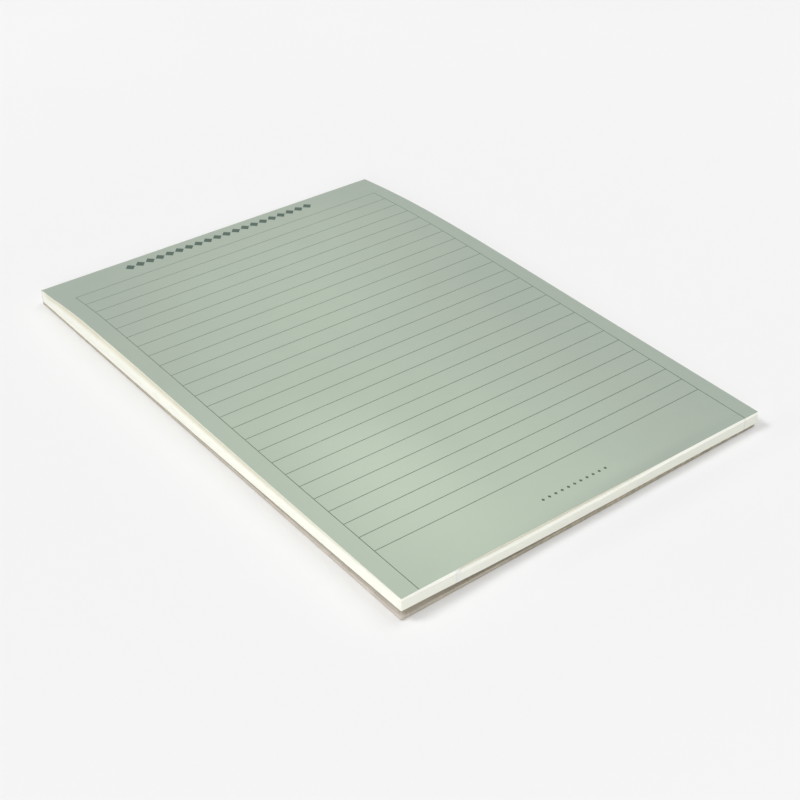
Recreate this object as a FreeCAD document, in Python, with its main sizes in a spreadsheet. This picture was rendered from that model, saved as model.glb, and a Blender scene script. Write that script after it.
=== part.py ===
"""Ruled writing pad, A5: a block of sheets glued along its head to a chipboard back.

Frame, in millimetres: the origin is at the bottom centre of the whole pad, +X runs to the
right along the foot, +Y runs from the foot to the glued head, and +Z is up off the table.

The board lies flat. The sheets are clamped only by the glue at the head, so the block swells
a little way down from it, thins again towards the foot, and its front left corner stands clear
of the board. The block is lofted from three side profiles: left edge, middle and right edge.
"""

import FreeCAD, Part
import math
import os
import Sketcher

# Driving sizes. Each name is the alias of one cell of the sheet "Sizes".
SIZES = {
    "sheet_width": 148.0,        # A5, across the ruling
    "sheet_length": 210.0,       # A5, from the glued head to the loose foot
    "board_thickness": 1.35,     # grey chipboard
    "board_corner_radius": 0.7,  # the board's two foot corners are dulled by handling
    "head_thickness": 4.8,       # the block where the glue clamps it
    "swell_thickness": 7.4,      # the block at its fullest
    "swell_from_head": 52.0,     # where it is fullest
    "settle_thickness": 5.8,     # the block where it has settled again
    "settle_from_foot": 70.0,    # where it has settled
    "foot_thickness": 4.5,       # the block at its loose end
    "corner_lift": 2.35,         # gap under the sheets at the front left corner
    "lift_start": 4.0,           # down to here from the head the sheets lie flat on the board
    "fan_height": 1.3,           # the upper sheets at the foot, which have slipped back
    "fan_back": 0.5,             # how far the top one has slipped
    "glue_thickness": 0.4,       # film of padding glue on the head
    "glue_edge_radius": 0.25,    # soft outer edges of the film
}

# The lift of the sheets dies away as a parabola from the left edge to the right one. So the
# three profiles take these shares of it.
LIFT_SHARES = {"left": 1.0, "middle": 0.25, "right": 0.0}

# The head face in the pad's frame, with the glue film outside it.
HEAD_Y = "(Sizes.sheet_length - Sizes.glue_thickness) / 2"
FOOT_Y = "(-Sizes.sheet_length - Sizes.glue_thickness) / 2"

START, END, CENTRE = 1, 2, 3  # the point numbers of a sketch's lines and circles
ORIGIN = (-1, 1)              # the sketch's own origin


def make_sheet(doc):
    """The spreadsheet that drives every sub-part."""
    sheet = doc.addObject("Spreadsheet::Sheet", "Sizes")
    for row, (alias, value) in enumerate(SIZES.items(), start=1):
        sheet.set(f"A{row}", alias)
        sheet.set(f"B{row}", str(value))
        sheet.setAlias(f"B{row}", alias)
    return sheet


def new_sketch(body, name, role):
    """A sketch on one of the body's own origin planes."""
    sketch = body.newObject("Sketcher::SketchObject", name)
    plane = next(f for f in body.Origin.OriginFeatures if f.Role == role)
    sketch.AttachmentSupport = [(plane, "")]
    sketch.MapMode = "FlatFace"
    return sketch


def measure(sketch, kind, first, second, name, expression):
    """A named dimension from point first to point second, driven by the sheet."""
    index = sketch.addConstraint(Sketcher.Constraint(kind, *first, *second, 1.0))
    sketch.renameConstraint(index, name)
    sketch.setExpression(f"Constraints.{name}", expression)


def join(sketch, first, second):
    """Makes two end points of the sketch one."""
    sketch.addConstraint(Sketcher.Constraint("Coincident", *first, *second))


def add_rectangle(sketch, width, height, left, bottom):
    """A closed rectangle whose sizes and lower left corner are expressions."""
    corners = [(0, 0), (1, 0), (1, 1), (0, 1)]
    sides = []
    for a, b in zip(corners, corners[1:] + corners[:1]):
        line = Part.LineSegment(FreeCAD.Vector(*a, 0), FreeCAD.Vector(*b, 0))
        sides.append(sketch.addGeometry(line, False))
    for side, following in zip(sides, sides[1:] + sides[:1]):
        join(sketch, (side, END), (following, START))
    for side, kind in zip(sides, ("Horizontal", "Vertical") * 2):
        sketch.addConstraint(Sketcher.Constraint(kind, side))
    measure(sketch, "DistanceX", ORIGIN, (sides[0], START), "left", left)
    measure(sketch, "DistanceY", ORIGIN, (sides[0], START), "bottom", bottom)
    measure(sketch, "DistanceX", (sides[0], START), (sides[0], END), "width", width)
    measure(sketch, "DistanceY", (sides[1], START), (sides[1], END), "height", height)


def round_edges(body, base, name, radius, wanted):
    """Rounds the edges of the feature base whose middle point passes the test wanted."""
    chosen = []
    for number, edge in enumerate(base.Shape.Edges, start=1):
        middle = edge.valueAt((edge.FirstParameter + edge.LastParameter) / 2)
        if wanted(middle):
            chosen.append(f"Edge{number}")
    fillet = body.newObject("PartDesign::Fillet", name)
    fillet.Base = (base, chosen)
    fillet.setExpression("Radius", radius)
    return fillet


def make_board(doc):
    """The chipboard back: a cut rectangle with its two foot corners dulled."""
    body = doc.addObject("PartDesign::Body", "backing_board")
    outline = new_sketch(body, "board_outline", "XY_Plane")
    add_rectangle(outline, "Sizes.sheet_width", "Sizes.sheet_length", "-Sizes.sheet_width / 2", FOOT_Y)
    board = body.newObject("PartDesign::Pad", "board_pad")
    board.Profile = outline
    board.setExpression("Length", "Sizes.board_thickness")
    doc.recompute()

    half_thickness = board.Shape.BoundBox.ZLength / 2
    round_edges(
        body, board, "board_corners", "Sizes.board_corner_radius",
        lambda point: point.y < 0 and math.isclose(point.z, half_thickness) and abs(point.x) > 1,
    )
    return body


def add_curve(sketch, poles):
    """A quadratic B-spline with evenly spaced knots, and the numbers of its pole circles.

    Such a curve touches each inner leg of its control polygon at the leg's middle."""
    spans = len(poles) - 2
    curve = Part.BSplineCurve()
    curve.buildFromPolesMultsKnots(
        [FreeCAD.Vector(*pole, 0) for pole in poles],
        [3] + [1] * (spans - 1) + [3], list(range(spans + 1)), False, 2,
    )
    index = sketch.addGeometry(curve, False)
    sketch.exposeInternalGeometry(index)
    return index, [(index + 1 + k, CENTRE) for k in range(len(poles))]


def lift_at(from_head, share):
    """The lift of the sheets at a distance from the head, as an expression."""
    bend = f"(({from_head}) - Sizes.lift_start) / (Sizes.sheet_length - Sizes.lift_start)"
    return f"{share} * Sizes.corner_lift * ({bend})^2"


def draw_profile(body, side, share):
    """The block's section at one side, seen from the right: the head is at the sketch's right."""
    sketch = new_sketch(body, f"profile_{side}", "YZ_Plane")
    offset = {"left": "-0.5", "middle": "0", "right": "0.5"}[side]
    sketch.setExpression("AttachmentOffset.Base.z", f"{offset} * Sizes.sheet_width")

    # Rough shapes in the right order: the expressions below give every size.
    flat = sketch.addGeometry(Part.LineSegment(FreeCAD.Vector(100, 1, 0), FreeCAD.Vector(90, 1, 0)))
    lifted, under = add_curve(sketch, [(90, 1), (0, 1), (-100, 3)])
    flush = sketch.addGeometry(Part.LineSegment(FreeCAD.Vector(-100, 3, 0), FreeCAD.Vector(-100, 6, 0)))
    fanned = sketch.addGeometry(Part.LineSegment(FreeCAD.Vector(-100, 6, 0), FreeCAD.Vector(-99, 7, 0)))
    top, over = add_curve(sketch, [(-99, 7), (-40, 7), (10, 8), (70, 8), (100, 5)])
    head = sketch.addGeometry(Part.LineSegment(FreeCAD.Vector(100, 5, 0), FreeCAD.Vector(100, 1, 0)))
    foot_pole, settle_pole, fall_pole, rise_pole, head_pole = over

    base = (flat, START)
    join(sketch, (flat, END), (lifted, START))
    join(sketch, (lifted, END), (flush, START))
    join(sketch, (flush, END), (fanned, START))
    join(sketch, (fanned, END), (top, START))
    join(sketch, (top, END), (head, START))
    join(sketch, (head, END), base)
    sketch.addConstraint(Sketcher.Constraint("Horizontal", flat))
    sketch.addConstraint(Sketcher.Constraint("Vertical", flush))
    sketch.addConstraint(Sketcher.Constraint("Vertical", head))

    # The head face, and the flat of the underside that the glue holds down.
    measure(sketch, "DistanceX", ORIGIN, base, "head_y", HEAD_Y)
    measure(sketch, "DistanceY", ORIGIN, base, "board_top", "Sizes.board_thickness")
    measure(sketch, "DistanceY", (head, END), (head, START), "head_thickness", "Sizes.head_thickness")
    measure(sketch, "DistanceX", (flat, END), base, "lift_start", "Sizes.lift_start")

    # The underside rises from that flat as one parabola, up to the foot.
    measure(sketch, "DistanceX", under[1], under[0], "bend_leg",
            "(Sizes.sheet_length - Sizes.lift_start) / 2")
    sketch.addConstraint(Sketcher.Constraint("Horizontal", *under[1], *under[0]))
    measure(sketch, "DistanceX", under[2], base, "sheet_length", "Sizes.sheet_length")
    measure(sketch, "DistanceY", base, under[2], "foot_lift", lift_at("Sizes.sheet_length", share))

    # The foot face: the lower sheets are flush, and the upper ones have slipped back.
    measure(sketch, "DistanceY", (flush, START), (fanned, END), "foot_thickness", "Sizes.foot_thickness")
    measure(sketch, "DistanceY", (fanned, START), (fanned, END), "fan_height", "Sizes.fan_height")
    measure(sketch, "DistanceX", (fanned, START), (fanned, END), "fan_back", "Sizes.fan_back")

    # The top sheet rises over the swell, falls, and settles towards the foot. The swell's two
    # poles stand as high as its top, which lies halfway between them.
    swell, settle = "Sizes.swell_from_head", "Sizes.sheet_length - Sizes.settle_from_foot"
    for pole, name, from_head, thickness in (
        (rise_pole, "rise", f"{swell} / 2", "Sizes.swell_thickness"),
        (fall_pole, "fall", f"{swell} * 3 / 2", "Sizes.swell_thickness"),
        (settle_pole, "settle", settle, "Sizes.settle_thickness"),
    ):
        measure(sketch, "DistanceX", pole, base, f"{name}_from_head", from_head)
        measure(sketch, "DistanceY", base, pole, f"{name}_height", f"{thickness} + {lift_at(from_head, share)}")
    return sketch


def make_block(doc):
    """All the sheets as one solid, lofted across the pad through its three side profiles."""
    body = doc.addObject("PartDesign::Body", "paper_block")
    profiles = [draw_profile(body, side, share) for side, share in LIFT_SHARES.items()]
    doc.recompute()
    loft = body.newObject("PartDesign::AdditiveLoft", "swollen_block")
    loft.Profile = profiles[0]
    loft.Sections = profiles[1:]
    loft.Ruled = False
    return body


def make_glue(doc):
    """The film of padding glue brushed over the head of the sheets and the board."""
    body = doc.addObject("PartDesign::Body", "glue_strip")
    face = new_sketch(body, "head_face", "XZ_Plane")
    face.setExpression("AttachmentOffset.Base.z", f"-({HEAD_Y})")
    film_height = "Sizes.board_thickness + Sizes.head_thickness"
    add_rectangle(face, "Sizes.sheet_width", film_height, "-Sizes.sheet_width / 2", "0")
    film = body.newObject("PartDesign::Pad", "film")
    film.Profile = face
    film.setExpression("Length", "Sizes.glue_thickness")
    film.Reversed = True
    doc.recompute()

    outer = film.Shape.BoundBox.YMax
    lowest = film.Shape.BoundBox.ZMin
    round_edges(
        body, film, "film_edges", "Sizes.glue_edge_radius",
        lambda point: math.isclose(point.y, outer) and not math.isclose(point.z, lowest, abs_tol=1e-6),
    )
    return body


def check(doc, parts):
    """Stops the macro if any object failed or any sub-part isn't one valid solid."""
    for item in doc.Objects:
        if "Invalid" in item.State or "Error" in item.State:
            raise RuntimeError(f"{item.Name} failed: {item.State}")
    for part in parts:
        shape = part.Shape
        if shape.isNull() or not shape.isValid() or len(shape.Solids) != 1:
            raise RuntimeError(f"{part.Label} is not one valid solid")
        box = shape.BoundBox
        print(f"{part.Label}: {shape.Volume / 1000:.2f} cm3, "
              f"{box.XLength:.2f} x {box.YLength:.2f} x {box.ZLength:.2f} mm")


def main():
    doc = FreeCAD.newDocument("writing_pad")
    make_sheet(doc)
    doc.recompute()
    parts = [make_board(doc), make_block(doc), make_glue(doc)]
    doc.recompute()
    check(doc, parts)
    os.makedirs("parts", exist_ok=True)
    for part in parts:
        part.Shape.exportStep(f"parts/{part.Label}.step")


main()
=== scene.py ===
# %% [markdown]
# # Dressing a ruled writing pad
#
# A writing pad looks like the simplest thing to model, and a box with a green top is what most
# first tries come to. It looks like a tile. What makes a pad read as paper is small: the block
# swells where the glue lets go of it, the sheets show as fine layers along the edges, the print
# runs out to a white cut rim, and the card under it is rougher than anything above.
#
# The solid model already holds the form and the sizes. The lesson reads both from it, in metres,
# and adds what a solid leaves out, one piece and one finish at a time.

# %% Load the solid model
import bpy
import math
import numpy as np
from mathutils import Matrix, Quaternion, Vector
from numpy.polynomial import legendre


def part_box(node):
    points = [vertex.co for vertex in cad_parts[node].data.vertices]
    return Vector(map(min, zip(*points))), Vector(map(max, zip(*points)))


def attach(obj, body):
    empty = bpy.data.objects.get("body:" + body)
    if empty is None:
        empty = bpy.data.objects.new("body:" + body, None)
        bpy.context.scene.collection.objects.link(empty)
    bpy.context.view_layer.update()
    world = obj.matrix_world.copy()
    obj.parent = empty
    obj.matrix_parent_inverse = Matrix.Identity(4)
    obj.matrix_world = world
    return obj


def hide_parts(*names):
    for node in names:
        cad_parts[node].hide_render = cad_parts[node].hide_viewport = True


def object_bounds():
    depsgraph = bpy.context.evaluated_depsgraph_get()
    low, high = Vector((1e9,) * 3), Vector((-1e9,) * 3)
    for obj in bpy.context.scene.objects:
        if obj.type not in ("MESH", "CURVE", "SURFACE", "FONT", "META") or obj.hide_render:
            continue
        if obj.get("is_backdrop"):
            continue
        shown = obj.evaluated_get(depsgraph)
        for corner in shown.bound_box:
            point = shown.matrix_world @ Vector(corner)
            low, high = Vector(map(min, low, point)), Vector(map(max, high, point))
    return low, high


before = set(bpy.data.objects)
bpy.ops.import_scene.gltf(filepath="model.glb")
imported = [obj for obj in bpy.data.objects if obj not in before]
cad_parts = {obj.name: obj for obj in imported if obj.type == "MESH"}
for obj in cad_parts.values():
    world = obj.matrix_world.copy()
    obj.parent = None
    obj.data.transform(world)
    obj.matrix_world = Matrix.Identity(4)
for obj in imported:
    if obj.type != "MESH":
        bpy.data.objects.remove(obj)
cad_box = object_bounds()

MM = 0.001
METRE = 1000.0     # in millimetres
print("solid model, mm:", [[round(value / MM, 2) for value in corner] for corner in cad_box])

# %% [markdown]
# ## Where everything lies
#
# The frame is the pad's own: x runs along the foot, y from the loose foot up to the glued head,
# and z up off the table. The board, the block and the glue film each give a box. The first two
# place every piece below, and the film keeps the solid's own form.

# %% Places from the frame
block_low, block_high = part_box("paper_block")
board_low, board_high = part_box("backing_board")
glue_low, glue_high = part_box("glue_strip")
LEFT, RIGHT = block_low.x, block_high.x
MIDDLE = (LEFT + RIGHT) / 2
FOOT, HEAD = block_low.y, block_high.y
WIDTH, LENGTH = RIGHT - LEFT, HEAD - FOOT
STATIONS = {"head": HEAD, "fullest place": HEAD - 52 * MM, "foot": FOOT}    # measured at
print(f"sheet {WIDTH / MM:.1f} x {LENGTH / MM:.1f} mm, board {board_high.z / MM:.2f} mm thick")
print(f"glue {(glue_high.y - HEAD) / MM:.1f} mm thick, {(glue_high.z - glue_low.z) / MM:.1f} mm high")

# %% [markdown]
# ## The camera
#
# It stands before the pad's front left corner and looks down on it, as a person at a desk would.
# A camera is easiest to change when it is written as an orbit: the point that it looks at, then
# how far round, how high and how far off. At azimuth 0 it looks along y. The small roll is the
# tilt of a hand-held camera.

# %% Camera
LOOK_AT = Vector((-14.80, -30.24, 7.0)) * MM
AZIMUTH = math.radians(38.94)
ELEVATION = math.radians(35.12)
DISTANCE = 469.4 * MM
ROLL = math.radians(0.70)
FOCAL_LENGTH = 64.97


def add_object(name, data):
    """A new object in the scene."""
    thing = bpy.data.objects.new(name, data)
    bpy.context.collection.objects.link(thing)
    return thing


forward = Vector((
    math.sin(AZIMUTH) * math.cos(ELEVATION),
    math.cos(AZIMUTH) * math.cos(ELEVATION),
    -math.sin(ELEVATION),
))
camera = add_object("camera", bpy.data.cameras.new("camera"))
camera.data.lens = FOCAL_LENGTH
camera.location = LOOK_AT - DISTANCE * forward
camera.rotation_mode = "QUATERNION"
camera.rotation_quaternion = forward.to_track_quat("-Z", "Y") @ Quaternion((0, 0, 1), ROLL)
bpy.context.scene.camera = camera
print("camera at, mm:", [round(value / MM, 1) for value in camera.location])

# %% [markdown]
# ## The form of the block
#
# The solid's top and underside are curved both ways, but its mesh has only as many points as it
# needs. A fine grid laid on those flat facets would show them. So the form is measured instead:
# a polynomial is fitted to the solid's own points, and it gives a smooth height anywhere.

# %% Smooth surfaces through the solid's points
BENDS_ACROSS = 2   # the sheets bow across the pad as a parabola
BENDS_ALONG = 8    # and have more turns along it


def unit_place(x, y):
    """x and y as numbers from -1 to 1 over the sheet."""
    return 2 * (x - LEFT) / WIDTH - 1, 2 * (y - FOOT) / LENGTH - 1


def points_facing(mesh, direction):
    """The points of the faces that look up, for 1, or down, for -1."""
    chosen = {i for face in mesh.polygons if face.normal.z * direction > 0.9 for i in face.vertices}
    return np.array([mesh.vertices[i].co for i in sorted(chosen)])


def fit_surface(points):
    """The height of a smooth surface through the points, as a function of x and y."""
    degrees = [BENDS_ACROSS, BENDS_ALONG]
    basis = legendre.legvander2d(*unit_place(points[:, 0], points[:, 1]), degrees)
    weights = np.linalg.lstsq(basis, points[:, 2], rcond=None)[0]
    weights = weights.reshape(BENDS_ACROSS + 1, BENDS_ALONG + 1)
    return lambda x, y: legendre.legval2d(*unit_place(x, y), weights)


block_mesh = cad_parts["paper_block"].data
block_top = fit_surface(points_facing(block_mesh, 1))
block_underside = fit_surface(points_facing(block_mesh, -1))
for station, y in STATIONS.items():
    left, right = [(block_top(x, y) - block_underside(x, y)) / MM for x in (LEFT, RIGHT)]
    print(f"paper at the {station}: {left:.2f} mm on the left, {right:.2f} mm on the right")

# %% [markdown]
# ## One way to build flat things
#
# Everything on a pad is a slab: a sheet, a card, even a printed line. A grid of points makes its
# underside, another makes its top, and a run of loops round the rim makes the edge between them.
# The more loops, the finer the section of the edge. All share their points, so that a slab is one
# closed skin, and several slabs can be joined in one piece.

# %% Slab builder
def rim(grid):
    """The outer values of a grid, anticlockwise from its first corner."""
    return np.concatenate([grid[0, :-1], grid[:-1, -1], grid[-1, :0:-1], grid[:0:-1, 0]])


def set_rim(grid, loop):
    """The grid with the values of a loop as its rim, in the order that rim gives."""
    across, along = grid.shape[1] - 1, grid.shape[0] - 1
    sides = np.split(loop, np.cumsum([across, along, across]))
    grid[0, :-1], grid[:-1, -1], grid[-1, :0:-1], grid[:0:-1, 0] = sides
    return grid


def inward(places, low, high):
    """The way in from a rim: 1 where a place is at the low side, -1 at the high side, or 0."""
    return (places <= low) * 1.0 - (places >= high) * 1.0


def grid_faces(numbers):
    """The faces of a grid of point numbers, looking up."""
    corners = [numbers[:-1, :-1], numbers[:-1, 1:], numbers[1:, 1:], numbers[1:, :-1]]
    return np.stack([corner.ravel() for corner in corners], axis=1)


def band_faces(lower, upper):
    """The faces between two loops of point numbers, looking outwards."""
    return np.stack([lower, np.roll(lower, -1), np.roll(upper, -1), upper], axis=1)


def make_slab(underside, top, loops=()):
    """The points and faces of a closed slab, and which of its faces are the top."""
    count = len(rim(top))
    first = np.arange(top[..., 0].size).reshape(top.shape[:2])
    between = [first.size + count * i + np.arange(count) for i in range(len(loops))]
    last = first + first.size + count * len(loops)
    edges = [rim(first), *between, rim(last)]
    bands = [band_faces(lower, upper) for lower, upper in zip(edges, edges[1:])]
    faces = np.concatenate([grid_faces(first)[:, ::-1], *bands, grid_faces(last)])
    points = np.concatenate([part.reshape(-1, 3) for part in (underside, *loops, top)])
    is_top = np.arange(len(faces)) >= len(faces) - (last.shape[0] - 1) * (last.shape[1] - 1)
    return points, faces, is_top


def make_piece(name, slabs, edge_material, top_material=None):
    """One object of several slabs. Their tops may have a material of their own."""
    starts = np.cumsum([0] + [len(slab[0]) for slab in slabs])
    faces = np.concatenate([slab[1] + start for slab, start in zip(slabs, starts)])
    mesh = bpy.data.meshes.new(name)
    mesh.from_pydata(np.concatenate([slab[0] for slab in slabs]).tolist(), [], faces.tolist())
    mesh.materials.append(edge_material)
    if top_material:
        mesh.materials.append(top_material)
        is_top = np.concatenate([slab[2] for slab in slabs]).astype(int)
        mesh.polygons.foreach_set("material_index", is_top)
    piece = add_object(name, mesh)
    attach(piece, "root")
    print(f"{name}: {len(mesh.vertices)} points, {len(mesh.polygons)} faces")
    return piece


def add_mask(piece, name, values):
    """A number for each point of a piece, which its material can read by name."""
    attribute = piece.data.attributes.new(name, "FLOAT", "POINT")
    attribute.data.foreach_set("value", np.asarray(values, np.float32).ravel())


def stack_points(x, y, z):
    """Points from x, y and z, which may be grids, loops or plain numbers."""
    return np.stack(np.broadcast_arrays(x, y, z), axis=-1)


# %% [markdown]
# ## Colours and nodes
#
# Colours are written as they look on a screen, from 0 to 255. Blender mixes light in linear
# values, so each one is converted once, here.

# %% Colours
def colour(red, green, blue):
    """A colour as it looks on a screen, 0 to 255, as the linear values that Blender mixes."""
    shares = [value / 255 for value in (red, green, blue)]
    linear = [s / 12.92 if s <= 0.04045 else ((s + 0.055) / 1.055) ** 2.4 for s in shares]
    return (*linear, 1.0)


print("white paper in linear values:", [round(value, 3) for value in colour(243, 243, 231)])

# %% [markdown]
# A few short helpers keep the materials easy to read. One adds a node and fills its sockets, one
# does a sum, two fade between two colours, and three give places and noise. The last four make
# and place a shader node group, and start and finish a material.

# %% Node helpers
def fill(tree, socket, value):
    """Give a socket another node's output, a number or a colour."""
    if isinstance(value, bpy.types.NodeSocket):
        tree.links.new(value, socket)
    else:
        socket.default_value = value


def add_node(tree, kind, inputs=None, **settings):
    """A node of this kind, with its settings and its inputs filled in."""
    node = tree.nodes.new(kind)
    for name, value in settings.items():
        setattr(node, name, value)
    for name, value in (inputs or {}).items():
        fill(tree, node.inputs[name], value)
    return node


def calculate(tree, operation, *values, clamp=False):
    """The output of a Math node that works on these numbers or outputs."""
    inputs = dict(enumerate(values))
    return add_node(tree, "ShaderNodeMath", inputs, operation=operation, use_clamp=clamp).outputs[0]


def fade(tree, mask, first, second):
    """A colour that goes from the first to the second as the mask goes from 0 to 1."""
    inputs = {0: mask, 6: first, 7: second}     # the Mix node's factor and its two colours
    return add_node(tree, "ShaderNodeMix", inputs, data_type="RGBA").outputs[2]


def tinge(tree, mask, strength, first, second):
    """The same fade, but only as far as this strength where the mask is 1."""
    return fade(tree, calculate(tree, "MULTIPLY", mask, strength), first, second)


def spread(tree, value, low, high, new_low=0.0, new_high=1.0):
    """A value from low to high, spread to new_low to new_high and held there."""
    inputs = {"Value": value, "From Min": low, "From Max": high}
    inputs.update({"To Min": new_low, "To Max": new_high})
    return add_node(tree, "ShaderNodeMapRange", inputs).outputs[0]


def own_place(tree):
    """Where a point lies on the pad, in metres."""
    return add_node(tree, "ShaderNodeTexCoord").outputs["Object"]


def change(tree, operation, place, other):
    """A place moved or stretched by a Vector Math node."""
    inputs = {0: place, 1: other}
    return add_node(tree, "ShaderNodeVectorMath", inputs, operation=operation).outputs[0]


def add_noise(tree, place, scale, detail, output="Fac"):
    """A noise over a place, with this many patches to the metre."""
    inputs = {"Vector": place, "Scale": scale, "Detail": detail}
    return add_node(tree, "ShaderNodeTexNoise", inputs).outputs[output]


# %% Groups and materials
NOISE_RANGE = (0.3, 0.7)     # nearly all of a noise lies between these


def new_group(name, inputs, outputs):
    """A shader node group, its input sockets and its output sockets."""
    group = bpy.data.node_groups.new(name, "ShaderNodeTree")
    for label, value in inputs.items():
        socket = group.interface.new_socket(label, in_out="INPUT", socket_type="NodeSocketFloat")
        socket.default_value = value
    for label in outputs:
        group.interface.new_socket(label, in_out="OUTPUT", socket_type="NodeSocketFloat")
    given = add_node(group, "NodeGroupInput").outputs
    return group, given, add_node(group, "NodeGroupOutput").inputs


def place_group(tree, group, inputs):
    """The outputs of a group placed in a material, with that material's own values."""
    return add_node(tree, "ShaderNodeGroup", inputs, node_tree=group).outputs


def new_material(name):
    """An empty material with a Principled shader, and that shader."""
    material = bpy.data.materials.new(name)
    material.use_nodes = True
    tree = material.node_tree
    tree.nodes.clear()
    shader = add_node(tree, "ShaderNodeBsdfPrincipled")
    add_node(tree, "ShaderNodeOutputMaterial", {"Surface": shader.outputs[0]})
    return material, tree, shader


def finish_material(material, shader, tint, grain, rough, shine, strength, depth, relief=None):
    """Feed the shader its colour, a roughness that follows the grain, a shine and a bump."""
    tree = material.node_tree
    inputs = {"Height": relief or grain, "Strength": strength, "Distance": depth}
    bump = add_node(tree, "ShaderNodeBump", inputs)
    fill(tree, shader.inputs["Base Color"], tint)
    fill(tree, shader.inputs["Roughness"], spread(tree, grain, *NOISE_RANGE, *rough))
    fill(tree, shader.inputs["Normal"], bump.outputs[0])
    shader.inputs["Specular IOR Level"].default_value = shine
    print(f"{material.name}: {len(tree.nodes)} nodes")


# %% [markdown]
# ## Effect: fibres
#
# Paper and card are both felts of short fibres. One noise stretched along a slow second noise
# gives threads that wander. The group puts out a height for the bump and the same value as a tone
# for the colour, and each material chooses how long its fibres are.

# %% Fibre group
fibres, given, result = new_group(
    "fibre_grain", {"Size mm": 0.5, "Stretch": 2.0}, ["Fibres", "Flecks"])
place = own_place(fibres)
per_metre = calculate(fibres, "DIVIDE", METRE, given["Size mm"])
drift = add_noise(fibres, place, 90.0, 1.0, "Color")
bend = add_node(fibres, "ShaderNodeVectorMath", {0: drift, "Scale": 4 * MM}, operation="SCALE")
wander = change(fibres, "ADD", place, bend.outputs[0])
squeeze = add_node(fibres, "ShaderNodeCombineXYZ", {"X": 1.0, "Y": given["Stretch"], "Z": 1.0})
threads = add_noise(fibres, change(fibres, "MULTIPLY", wander, squeeze.outputs[0]), per_metre, 4.0)
specks = add_noise(fibres, wander, per_metre, 1.0)
fill(fibres, result["Fibres"], threads)
fill(fibres, result["Flecks"], spread(fibres, specks, 0.62, 0.78))
print("fibre_grain:", len(fibres.nodes), "nodes")

# %% [markdown]
# ## Effect: soft mottle
#
# No print or board is one even tone. Large soft patches, a few per cent lighter or darker, are
# what keeps a big flat page from looking like plastic. The group gives one number round zero.

# %% Mottle group
mottle, given, result = new_group("soft_mottle", {"Size mm": 20.0, "Amount": 0.04}, ["Shift"])
per_metre = calculate(mottle, "DIVIDE", METRE, given["Size mm"])
patches = add_noise(mottle, own_place(mottle), per_metre, 3.0)
centred = calculate(mottle, "SUBTRACT", patches, 0.5)
fill(mottle, result["Shift"], calculate(mottle, "MULTIPLY", centred, given["Amount"]))


def place_mottle(tree, size, amount):
    """A mottle with patches of this size, in millimetres, and of this strength."""
    return place_group(tree, mottle, {"Size mm": size, "Amount": amount})["Shift"]


print("soft_mottle:", len(mottle.nodes), "nodes")

# %% [markdown]
# ## Effect: a slow pool of tone
#
# A press run leaves a tone that changes over a hand's breadth, and the same slow pool also
# paints light and shade onto the paper and the print. The group gives 1 at a place on the pad and
# falls off smoothly to 0 at its reach. Its places are millimetres from the left edge and from the
# foot, so that they are easy to read off a ruler. Across the pad the reach is divided by the
# squeeze.

# %% Pool group
defaults = {"From left mm": 0.0, "From foot mm": 0.0, "Reach mm": 200.0, "Squeeze": 1.0}
pools, given, result = new_group("tone_pool", defaults, ["Pool"])
middle_x = calculate(pools, "MULTIPLY_ADD", given["From left mm"], MM, LEFT)
middle_y = calculate(pools, "MULTIPLY_ADD", given["From foot mm"], MM, FOOT)
middle = add_node(pools, "ShaderNodeCombineXYZ", {"X": middle_x, "Y": middle_y, "Z": 0.0})
ratio = add_node(pools, "ShaderNodeCombineXYZ", {"X": given["Squeeze"], "Y": 1.0, "Z": 0.0})
off = change(pools, "SUBTRACT", own_place(pools), middle.outputs[0])
off = change(pools, "MULTIPLY", off, ratio.outputs[0])
distance = add_node(pools, "ShaderNodeVectorMath", {0: off}, operation="LENGTH").outputs["Value"]
limit = calculate(pools, "MULTIPLY", given["Reach mm"], MM)
falloff = {"Value": distance, "From Min": limit, "From Max": 0.0}
soft = add_node(pools, "ShaderNodeMapRange", falloff, interpolation_type="SMOOTHSTEP").outputs[0]
fill(pools, result["Pool"], soft)


def place_pool(tree, left, foot, reach, squeeze=1.0):
    """A pool this far from the left edge and from the foot, in millimetres."""
    inputs = {"From left mm": left, "From foot mm": foot, "Reach mm": reach, "Squeeze": squeeze}
    return place_group(tree, pools, inputs)["Pool"]


print("tone_pool:", len(pools.nodes), "nodes")

# %% [markdown]
# ## Effect: scuffed edges
#
# Edges rub before faces do. The card's mesh carries a number per point that is high on its cut
# edge, and this group breaks that number up with noise, so that the wear comes in nicks and not
# as a line.

# %% Scuff group
defaults = {"Edge": 0.0, "Size mm": 1.5, "Wear": 0.5}
scuffs, given, result = new_group("edge_scuff", defaults, ["Worn"])
per_metre = calculate(scuffs, "DIVIDE", METRE, given["Size mm"])
nicks = calculate(scuffs, "SUBTRACT", add_noise(scuffs, own_place(scuffs), per_metre, 5.0), 0.62)
reach = calculate(scuffs, "MULTIPLY", given["Edge"], given["Wear"])
depth = calculate(scuffs, "ADD", reach, nicks)
fill(scuffs, result["Worn"], spread(scuffs, depth, 0.0, 0.18))
print("edge_scuff:", len(scuffs.nodes), "nodes")

# %% [markdown]
# ## Finish: white paper
#
# This is the cut edge of the block and the back of every sheet: an off-white wood-free stock,
# with painted light that makes it paler towards the front left corner. Two numbers come from the
# mesh. "cut_tone_and_painted_light" differs from sheet to sheet at random; on the foot it is
# painted shade that makes the upright cut face darker than the sides, more so towards the right,
# and below zero it is a painted highlight that makes the lean whiter than the rest. "loose_shade"
# is how loosely the sheets lie, and it paints them warmer and dimmer, as painted shade between them.
#
# The upright rule runs off the foot of every sheet, so on the cut foot its ends stack up in a
# faint line. Near the other corner the guillotine's knife had a nick, which left a faint cool
# band with a line beside it.

# %% Foot mark group
RULES_FROM_LEFT = (6.48 * MM, 141.83 * MM)
NICK_FROM_LEFT = 19.7 * MM

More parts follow.
